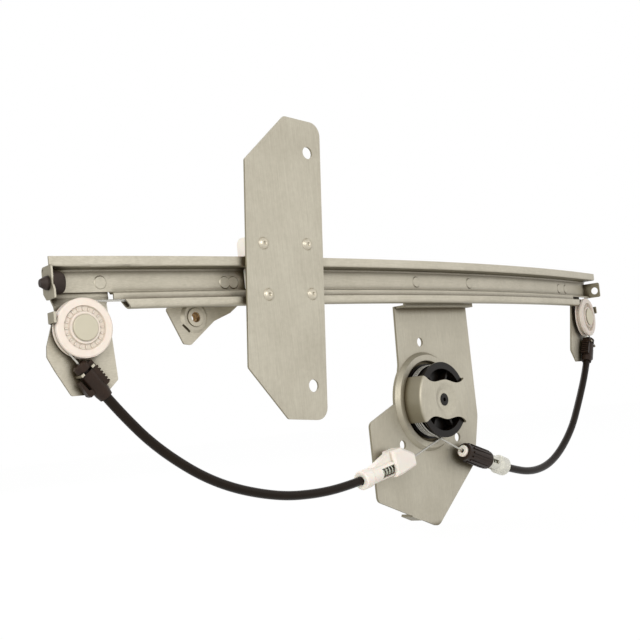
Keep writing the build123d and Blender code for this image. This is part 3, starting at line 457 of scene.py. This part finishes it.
def grown(name, tree, start, **sizes):
    """Runs a tree on a starting mesh and returns the result as a plain mesh object."""
    seed = bpy.data.objects.new(name + "_seed", start)
    bpy.context.scene.collection.objects.link(seed)
    modifier = seed.modifiers.new(tree.name, "NODES")
    modifier.node_group = tree
    sockets = {s.name: s.identifier for s in tree.interface.items_tree if s.in_out == "INPUT"}
    for size_name, value in sizes.items():
        modifier[sockets[size_name.replace("_", " ")]] = value
    depsgraph = bpy.context.evaluated_depsgraph_get()
    mesh = bpy.data.meshes.new_from_object(seed.evaluated_get(depsgraph))
    bpy.data.objects.remove(seed)
    made = bpy.data.objects.new(name, mesh)
    bpy.context.scene.collection.objects.link(made)
    print(name, len(mesh.polygons), "faces")
    return made


# %% [markdown]
# ## Stranded cable
# The cable is a wire rope: strands laid round a core, which look like a twisted cord of steel. Modelling each
# wire would be wasteful. A round section with one lobe for each strand, swept along the path while it turns
# once for every lay length, gives the same look. A path of any shape can use the same tree, so its sizes are
# named inputs.

# %% Wire rope tree
points_per_strand = 6
valley = 0.76

rope_tree, given = new_tree(
    "wire_rope",
    "Rope",
    Path="Geometry",
    Radius="Float",
    Strands="Int",
    Lay_Length="Float",
    Step="Float",
    Finish="Material",
)
path = add(rope_tree, "GeometryNodeMeshToCurve", {"Mesh": given["Path"]}).outputs["Curve"]
even = add(rope_tree, "GeometryNodeResampleCurve", {"Curve": path, "Length": given["Step"]}, mode="LENGTH")
how_far = add(rope_tree, "GeometryNodeSplineParameter").outputs
turns = calculate(rope_tree, "DIVIDE", how_far["Length"], given["Lay Length"])
tilt = calculate(rope_tree, "MULTIPLY", turns, 2 * pi)
twisted = add(rope_tree, "GeometryNodeSetCurveTilt", {"Curve": even.outputs["Curve"], "Tilt": tilt})
section_points = calculate(rope_tree, "MULTIPLY", given["Strands"], points_per_strand)
ring = add(rope_tree, "GeometryNodeCurvePrimitiveCircle", {"Resolution": section_points, "Radius": 1.0})
around = calculate(rope_tree, "MULTIPLY", how_far["Factor"], given["Strands"])
wave = calculate(rope_tree, "SINE", calculate(rope_tree, "MULTIPLY", around, pi))
lobe = rescale(rope_tree, calculate(rope_tree, "ABSOLUTE", wave), 0, 1, valley)
reach = calculate(rope_tree, "MULTIPLY", lobe, given["Radius"])
at = add(rope_tree, "GeometryNodeInputPosition").outputs["Position"]
scaled = add(rope_tree, "ShaderNodeVectorMath", {0: at, "Scale": reach}, operation="SCALE").outputs["Vector"]
lobes = add(rope_tree, "GeometryNodeSetPosition", {"Geometry": ring.outputs["Curve"], "Position": scaled})
swept = add(
    rope_tree,
    "GeometryNodeCurveToMesh",
    {"Curve": twisted.outputs["Curve"], "Profile Curve": lobes.outputs["Geometry"], "Fill Caps": True},
)
end_tree(rope_tree, swept.outputs["Mesh"], given["Finish"], "Rope")

# %% Cable on the drum
cable_radius = 0.75 * mm
cable_lay = 8 * mm
rope_step = 0.7 * mm
rope_strands = 6
winding_radius = 27.2 * mm
winding_lanes = (-14.2 * mm, -7.9 * mm, -6.1 * mm, -4.3 * mm)
ring_points = 180

ring_places = []
ring_edges = []
for lane in winding_lanes:
    first = len(ring_places)
    for i in range(ring_points):
        turn = 2 * pi * i / ring_points
        ring_places.append((winding_radius * cos(turn), lane, winding_radius * sin(turn)))
        ring_edges.append((first + i, first + (i + 1) % ring_points))
rings = bpy.data.meshes.new("winding_rings")
rings.from_pydata(ring_places, ring_edges, [])
whole_lays = round(2 * pi * winding_radius / cable_lay)
winding = grown(
    "drum_cable_turns",
    rope_tree,
    rings,
    Radius=cable_radius,
    Strands=rope_strands,
    Lay_Length=2 * pi * winding_radius / whole_lays,
    Step=rope_step,
    Finish=cable_steel,
)
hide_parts("drum_winding")
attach(winding, "drum")

# %% [markdown]
# ## Cable from the fittings to the drum
# Each cable leaves its fitting, runs straight to the drum and lies round it in a groove of its own. The
# straight stretch is tangent to the drum, which two lines of trigonometry give.

# %% Route onto the drum
left_entry = (-100.3 * mm, -51.1 * mm)
left_tip = (-42.3 * mm, -41.6 * mm)
left_lane = -11.9 * mm
right_entry = (79 * mm, -59.6 * mm)
right_tip = (25 * mm, -41.5 * mm)
right_lane = -10.1 * mm
left_conduit_depth = 18 * mm
right_conduit_depth = 12 * mm
tip_bend = 4 * mm
wrap_angle = radians(100)
wrap_steps = 8


def drum_route(entry, tip, lane, conduit_depth, side):
    """Control points from the conduit's end, out of the fitting's tip, tangent to the drum and round it."""
    run = hypot(tip[0] - entry[0], tip[1] - entry[1])
    share = conduit_depth / run
    route = [Vector((entry[0] + share * (tip[0] - entry[0]), lane, entry[1] + share * (tip[1] - entry[1])))]
    touch = atan2(tip[1], tip[0]) + side * acos(winding_radius / hypot(tip[0], tip[1]))
    leave = Vector((winding_radius * cos(touch), lane, winding_radius * sin(touch)))
    corner = Vector((tip[0], lane, tip[1]))
    before = tip_bend / (corner - route[0]).length
    after = tip_bend / (leave - corner).length
    route.append(corner.lerp(route[0], before))
    route.append(corner.lerp(leave, after))
    step = wrap_angle / wrap_steps
    reach = winding_radius / cos(step / 2)
    route.append(leave)
    for i in range(wrap_steps):
        turn = touch + side * (i + 0.5) * step
        route.append(Vector((reach * cos(turn), lane, reach * sin(turn))))
    end = touch + side * wrap_angle
    route.append(Vector((winding_radius * cos(end), lane, winding_radius * sin(end))))
    return route


# %% Cables at the drum
for name, node, entry, tip, lane, depth, side in (
    ("left_drum_rope", "left_drum_cable", left_entry, left_tip, left_lane, left_conduit_depth, 1),
    ("right_drum_rope", "right_drum_cable", right_entry, right_tip, right_lane, right_conduit_depth, -1),
):
    route = smooth_line(name + "_route", drum_route(entry, tip, lane, depth, side))
    centre = bpy.data.meshes.new_from_object(route.evaluated_get(bpy.context.evaluated_depsgraph_get()))
    bpy.data.objects.remove(route)
    rope = grown(
        name,
        rope_tree,
        centre,
        Radius=cable_radius,
        Strands=rope_strands,
        Lay_Length=cable_lay,
        Step=rope_step,
        Finish=cable_steel,
    )
    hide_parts(node)
    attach(rope, "rail_frame")

# %% [markdown]
# ## Marks round the pulleys
# The front of each pulley has a recessed ring, and fine moulded relief in it catches the light. Here the
# relief is a ring of plain raised bars, spaced evenly. The tree places one bar many times on a circle and
# turns each copy to face outwards, so the number of bars and their size can change in one place.

# %% Ring of bars tree
marks_tree, given = new_tree(
    "ring_of_bars",
    "Bars",
    Start="Geometry",
    Count="Int",
    Ring_Radius="Float",
    Bar="Vector",
    Finish="Material",
)
spread = {"Vertices": given["Count"], "Radius": given["Ring Radius"]}
circle = add(marks_tree, "GeometryNodeMeshCircle", spread)
bar = add(marks_tree, "GeometryNodeMeshCube", {"Size": given["Bar"]}).outputs["Mesh"]
at = add(marks_tree, "GeometryNodeInputPosition").outputs["Position"]
outwards = add(marks_tree, "FunctionNodeAlignRotationToVector", {"Vector": at}, axis="X").outputs["Rotation"]
bars = add(
    marks_tree,
    "GeometryNodeInstanceOnPoints",
    {"Points": circle.outputs["Mesh"], "Instance": bar, "Rotation": outwards},
)
end_tree(marks_tree, bars.outputs["Instances"], given["Finish"], "Bars")

# %% Marks on both pulleys
mark_count = 20
mark_ring_radius = 11.5 * mm
mark_bar = (1.9 * mm, 0.7 * mm, 0.5 * mm)
mark_floor = 0.4 * mm


def turned_place(centre, axis):
    """The matrix that puts local Z along an axis at a centre."""
    return Matrix.Translation(Vector(centre)) @ Vector(axis).to_track_quat("Z", "X").to_matrix().to_4x4()


joints = {joint["name"]: joint for joint in frame["joints"]}
for side, body in (("left", "left_wheel"), ("right", "right_wheel")):
    joint = joints[side + "_pulley_spin"]
    marks = grown(
        side + "_pulley_marks",
        marks_tree,
        bpy.data.meshes.new("empty"),
        Count=mark_count,
        Ring_Radius=mark_ring_radius,
        Bar=mark_bar,
        Finish=shaded_acetal,
    )
    seat = turned_place(joint["pos_m"], joint["axis"]) @ Matrix.Translation((0, 0, mark_floor))
    marks.data.transform(seat)
    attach(marks, body)

# %% [markdown]
# ## Thread of the door bush
# The bush in the small tab takes an M8 screw, so its bore is threaded, and the thread has kept the yellow
# tint of its passivation. A thread is one ridge wound along a helix: a spiral curve with a triangular
# section.

# %% Thread tree
points_per_turn = 40
ridge_corners = 3

thread_tree, given = new_tree(
    "screw_thread",
    "Thread",
    Start="Geometry",
    Radius="Float",
    Turns="Float",
    Height="Float",
    Ridge="Float",
    Finish="Material",
)
helix = add(
    thread_tree,
    "GeometryNodeCurveSpiral",
    {
        "Resolution": points_per_turn,
        "Rotations": given["Turns"],
        "Start Radius": given["Radius"],
        "End Radius": given["Radius"],
        "Height": given["Height"],
    },
)
ridge = add(
    thread_tree, "GeometryNodeCurvePrimitiveCircle", {"Resolution": ridge_corners, "Radius": given["Ridge"]}
)
wound = add(
    thread_tree,
    "GeometryNodeCurveToMesh",
    {"Curve": helix.outputs["Curve"], "Profile Curve": ridge.outputs["Curve"], "Fill Caps": True},
)
end_tree(thread_tree, wound.outputs["Mesh"], given["Finish"], "Thread")

# %% Thread in the bush
thread_radius = 3.4 * mm
thread_pitch = 1.25 * mm
thread_length = 8 * mm
thread_ridge = 0.5 * mm

bush = {mount["name"]: mount for mount in frame["record"]["mounts"]}["door_bush"]
thread = grown(
    "door_bush_thread",
    thread_tree,
    bpy.data.meshes.new("empty"),
    Radius=thread_radius,
    Turns=thread_length / thread_pitch,
    Height=thread_length,
    Ridge=thread_ridge,
    Finish=yellow_steel,
)
seat = turned_place(bush["pos_m"], bush["axis"]) @ Matrix.Translation((0, 0, -thread_length / 2))
thread.data.transform(seat)
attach(thread, "rail_frame")

# %% [markdown]
# ## Floor and light
# The regulator stands in front of plain white. The floor and the world look white to the camera, in mirrors
# and through clear plastic, while the light that they send is weaker, so that each colour renders about as it
# is written. The floor still darkens a little where the object shades it. One soft lamp stands close by at
# the front left, which makes the left end paler than the right one, as in the photo. A weaker, larger one at
# the front right fills the shadows, and one at the back lights the edges.

# %% Floor
floor_half = 4
floor_gap = 1 * mm
floor_cover = 0.95
floor_glow = 1.02
floor_z = cad_box[0][2] - floor_gap

plane = bpy.data.meshes.new("floor")
corners = [(x * floor_half, y * floor_half, floor_z) for x, y in ((-1, -1), (1, -1), (1, 1), (-1, 1))]
plane.from_pydata(corners, [], [(0, 1, 2, 3)])
floor = bpy.data.objects.new("floor", plane)
bpy.context.scene.collection.objects.link(floor)


def seen_directly(tree):
    """At least 1 for rays from the camera, off a mirror or through clear plastic, and 0 for other light."""
    rays = add(tree, "ShaderNodeLightPath").outputs
    mirrored = calculate(tree, "ADD", rays["Is Camera Ray"], rays["Is Glossy Ray"])
    return calculate(tree, "ADD", mirrored, rays["Is Transmission Ray"])


white = bpy.data.materials.new("white_floor")
white.use_nodes = True
tree = white.node_tree
tree.nodes.clear()
cover = calculate(tree, "MULTIPLY", seen_directly(tree), floor_cover, use_clamp=True)
paint = add(tree, "ShaderNodeBsdfDiffuse", {"Color": linear("#E8E8E6")})
glow = add(tree, "ShaderNodeEmission", {"Color": (1, 1, 1, 1), "Strength": floor_glow})
both = add(tree, "ShaderNodeMixShader", {0: cover, 1: paint.outputs[0], 2: glow.outputs[0]})
add(tree, "ShaderNodeOutputMaterial", {"Surface": both.outputs[0]})
plane.materials.append(white)
print("floor at", round(floor_z, 4))

# %% World
room_light = 0.62

world = bpy.data.worlds.new("studio")
world.use_nodes = True
tree = world.node_tree
tree.nodes.clear()
strength = rescale(tree, seen_directly(tree), 0, 1, room_light)
sky = add(tree, "ShaderNodeBackground", {"Color": (1, 1, 1, 1), "Strength": strength})
add(tree, "ShaderNodeOutputWorld", {"Surface": sky.outputs[0]})
bpy.context.scene.world = world
print("room light", room_light)

# %% Lamps
middle = (Vector(cad_box[0]) + Vector(cad_box[1])) / 2
for name, place, width, watts in (
    ("key_lamp", (-0.75, -0.55, 0.35), 0.6, 4.3),
    ("fill_lamp", (1.1, -1.1, 0.5), 1.2, 1.2),
    ("rim_lamp", (0.2, 1.3, 0.9), 1.2, 6),
):
    light = bpy.data.lights.new(name, "AREA")
    light.shape = "DISK"
    light.size = width
    light.energy = watts
    lamp = bpy.data.objects.new(name, light)
    lamp.location = place
    lamp.rotation_euler = (middle - Vector(place)).to_track_quat("-Z", "Y").to_euler()
    bpy.context.scene.collection.objects.link(lamp)
    print(name, watts, "W")

bpy.context.scene.view_settings.view_transform = "Standard"
